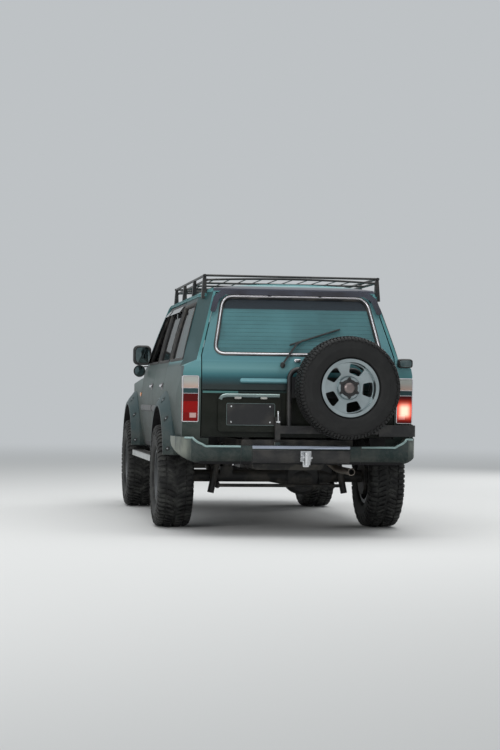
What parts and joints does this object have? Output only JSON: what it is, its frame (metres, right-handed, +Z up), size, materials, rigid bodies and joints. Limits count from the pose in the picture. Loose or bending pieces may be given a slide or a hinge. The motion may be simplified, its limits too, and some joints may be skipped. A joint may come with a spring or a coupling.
{
  "type": "lifted off-road 4x4",
  "caption": "Lifted off-road 4x4 estate in dark teal green with wide flares, split tailgate, roof rack and a spare wheel on a swing-away carrier.",
  "frame": {"origin": "on the ground in the middle of the vehicle's outer box, front bumper to spare wheel", "axes": "+Y forwards (front of the vehicle), +X to the vehicle's right, +Z up"},
  "size_m": [2.035, 5.0706, 2.0179],
  "materials": {
    "tyre_rubber": "matt",
    "dark_rim": "satin",
    "silver_rim": "satin",
    "tinted_glass": "tinted, polished",
    "smoked_acrylic": "smoked, polished",
    "grey_fabric": "woven",
    "dark_plastic": "grained",
    "black_plastic": "satin",
    "red_lamp": "clear lens",
    "clear_lamp": "clear lens",
    "underbody_black": "dusty matt",
    "cast_metal": "as cast",
    "silver_metal": "satin",
    "exhaust_steel": "heat stained",
    "grey_green_paint": "metallic, dusty",
    "dark_green_paint": "metallic gloss",
    "teal_green_paint": "metallic gloss"
  },
  "bodies": {
    "vehicle": {"body_shell": "teal_green_paint", "chassis_frame": "underbody_black", "dashboard": "dark_plastic", "engine_block": "cast_metal", "exhaust": "exhaust_steel", "fender_flares": "grey_green_paint", "fixed_glass": "tinted_glass", "front_axle": "underbody_black", "front_bumper": "grey_green_paint", "front_fenders": "teal_green_paint", "front_panel": "teal_green_paint", "front_seats": "grey_fabric", "fuel_tank": "underbody_black", "gearbox": "cast_metal", "grille": "dark_plastic", "headlamps": "clear_lamp", "propshafts": "underbody_black", "radiator": "silver_metal", "rear_axle": "underbody_black", "rear_bench": "grey_fabric", "rear_bumper": "grey_green_paint", "rear_lamps": "red_lamp", "roof_panel": "teal_green_paint", "roof_rack": "black_plastic", "side_steps": "silver_metal", "steering_wheel": "dark_plastic", "suspension": "underbody_black", "tow_hitch": "silver_metal"},
    "front_door_left_body": {"front_door_left": "teal_green_paint", "front_door_glass_left": "tinted_glass", "mirror_left": "black_plastic"},
    "front_door_right_body": {"front_door_right": "teal_green_paint", "front_door_glass_right": "tinted_glass", "mirror_right": "black_plastic"},
    "rear_door_left_body": {"rear_door_left": "teal_green_paint", "rear_door_glass_left": "tinted_glass"},
    "rear_door_right_body": {"rear_door_right": "teal_green_paint", "rear_door_glass_right": "tinted_glass"},
    "bonnet_body": {"bonnet": "teal_green_paint"},
    "upper_gate_body": {"upper_gate": "teal_green_paint", "rear_glass": "tinted_glass", "rear_wiper": "black_plastic", "wind_deflector": "smoked_acrylic"},
    "lower_gate_body": {"lower_gate": "dark_green_paint", "plate_panel": "dark_green_paint"},
    "carrier_body": {"spare_carrier": "black_plastic", "spare_rim": "silver_rim", "spare_tyre": "tyre_rubber"},
    "knuckle_left_body": {"knuckle_left": "underbody_black"},
    "knuckle_right_body": {"knuckle_right": "underbody_black"},
    "tie_rod_body": {"tie_rod": "underbody_black"},
    "wheel_front_left": {"tyre_front_left": "tyre_rubber", "rim_front_left": "dark_rim"},
    "wheel_front_right": {"tyre_front_right": "tyre_rubber", "rim_front_right": "dark_rim"},
    "wheel_rear_left": {"tyre_rear_left": "tyre_rubber", "rim_rear_left": "dark_rim"},
    "wheel_rear_right": {"tyre_rear_right": "tyre_rubber", "rim_rear_right": "dark_rim"}
  },
  "joints": [
    {"name": "steer_left", "type": "hinge", "parent": "vehicle", "child": "knuckle_left_body", "pos_m": [-0.725, 1.74, 0.416], "axis": [0, 0, 1], "range_deg": [-30, 30]},
    {"name": "steer_right", "type": "hinge", "parent": "vehicle", "child": "knuckle_right_body", "pos_m": [0.725, 1.74, 0.416], "axis": [0, 0, 1], "range_deg": [-30, 30]},
    {"name": "tie_rod_eye", "type": "hinge", "parent": "knuckle_left_body", "child": "tie_rod_body", "pos_m": [-0.725, 1.89, 0.372], "axis": [0, 0, 1], "range_deg": [-30, 30]},
    {"name": "wheel_front_left_spin", "type": "hinge", "parent": "knuckle_left_body", "child": "wheel_front_left", "pos_m": [-0.86, 1.74, 0.416], "axis": [1, 0, 0], "continuous": true},
    {"name": "wheel_front_right_spin", "type": "hinge", "parent": "knuckle_right_body", "child": "wheel_front_right", "pos_m": [0.86, 1.74, 0.416], "axis": [1, 0, 0], "continuous": true},
    {"name": "wheel_rear_left_spin", "type": "hinge", "parent": "vehicle", "child": "wheel_rear_left", "pos_m": [-0.86, -1.11, 0.416], "axis": [1, 0, 0], "continuous": true},
    {"name": "wheel_rear_right_spin", "type": "hinge", "parent": "vehicle", "child": "wheel_rear_right", "pos_m": [0.86, -1.11, 0.416], "axis": [1, 0, 0], "continuous": true},
    {"name": "front_door_left_hinge", "type": "hinge", "parent": "vehicle", "child": "front_door_left_body", "pos_m": [-0.916, 0.982, 0.9], "axis": [0, 0, -1], "range_deg": [0, 66]},
    {"name": "front_door_right_hinge", "type": "hinge", "parent": "vehicle", "child": "front_door_right_body", "pos_m": [0.916, 0.982, 0.9], "axis": [0, 0, 1], "range_deg": [0, 66]},
    {"name": "rear_door_left_hinge", "type": "hinge", "parent": "vehicle", "child": "rear_door_left_body", "pos_m": [-0.916, -0.015, 0.9], "axis": [0, 0, -1], "range_deg": [0, 68]},
    {"name": "rear_door_right_hinge", "type": "hinge", "parent": "vehicle", "child": "rear_door_right_body", "pos_m": [0.916, -0.015, 0.9], "axis": [0, 0, 1], "range_deg": [0, 68]},
    {"name": "bonnet_hinge", "type": "hinge", "parent": "vehicle", "child": "bonnet_body", "pos_m": [0, 1.062, 1.3], "axis": [1, 0, 0], "range_deg": [0, 52]},
    {"name": "carrier_swing", "type": "hinge", "parent": "vehicle", "child": "carrier_body", "pos_m": [0.878, -2.19, 0.806], "axis": [0, 0, 1], "range_deg": [0, 165]},
    {"name": "upper_gate_hinge", "type": "hinge", "parent": "vehicle", "child": "upper_gate_body", "pos_m": [0, -1.922, 1.874], "axis": [-1, 0, 0], "range_deg": [0, 70]},
    {"name": "lower_gate_hinge", "type": "hinge", "parent": "vehicle", "child": "lower_gate_body", "pos_m": [0, -2.15, 0.745], "axis": [1, 0, 0], "range_deg": [0, 90]}
  ],
  "couplings": [
    {"joint": "steer_right", "follows": "steer_left", "ratio": 1},
    {"joint": "tie_rod_eye", "follows": "steer_left", "ratio": -1},
    {"joint": "upper_gate_hinge", "follows": "carrier_swing", "ratio": 0.42424},
    {"joint": "lower_gate_hinge", "follows": "carrier_swing", "ratio": 0.54545}
  ]
}
